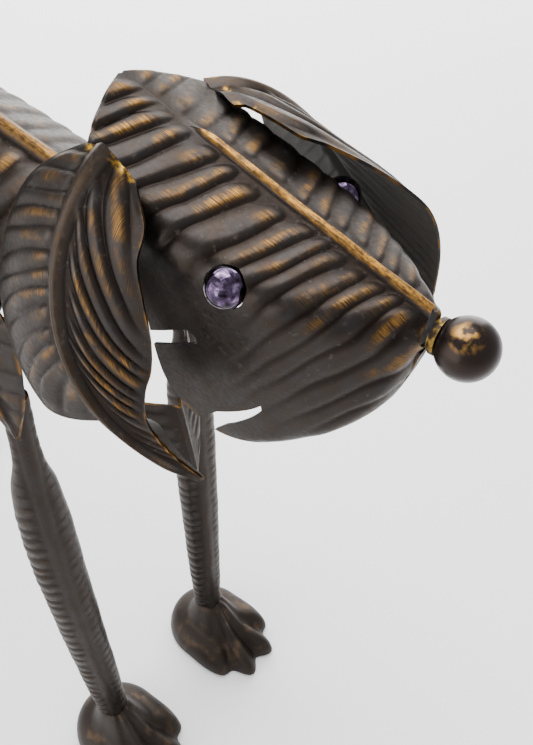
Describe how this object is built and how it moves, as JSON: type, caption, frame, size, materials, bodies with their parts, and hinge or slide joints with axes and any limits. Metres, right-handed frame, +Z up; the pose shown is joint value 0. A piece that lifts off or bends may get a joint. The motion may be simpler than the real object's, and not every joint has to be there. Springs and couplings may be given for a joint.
{
  "type": "scrap metal dog sculpture",
  "caption": "Standing dog made of pressed, ribbed sheet-metal leaves in dark bronze with gold-brushed ribs, ball nose and eyes, and cast paws.",
  "frame": {"origin": "on the floor under the middle of the dog's overall box", "axes": "+X towards the nose, +Y to the dog's left, +Z up from the floor"},
  "size_m": [0.491, 0.1318, 0.3938],
  "materials": {
    "dark_bronze": "satin dark patina with gold dry-brushed on the ribs, midribs and rims",
    "cast_metal": "dark patina, worn warm on high places",
    "worn_ball": "dark patina with a worn gold patch",
    "tinted_steel": "polished, heat-tinted purple and blue"
  },
  "bodies": {
    "root": {"head_leaf": "dark_bronze", "nose_ball": "worn_ball", "nose_collar": "cast_metal", "ear_right": "dark_bronze", "ear_left": "dark_bronze", "back_leaf": "dark_bronze", "neck_leaf": "dark_bronze", "chest_leaf": "dark_bronze", "tail_leaf": "dark_bronze", "eye_right": "tinted_steel", "shoulder_leaf_right": "dark_bronze", "haunch_leaf_right": "dark_bronze", "front_leg_right": "dark_bronze", "hind_leg_right": "dark_bronze", "front_paw_right": "cast_metal", "hind_paw_right": "cast_metal", "eye_left": "tinted_steel", "shoulder_leaf_left": "dark_bronze", "haunch_leaf_left": "dark_bronze", "front_leg_left": "dark_bronze", "hind_leg_left": "dark_bronze", "front_paw_left": "cast_metal", "hind_paw_left": "cast_metal"}
  },
  "joints": []
}
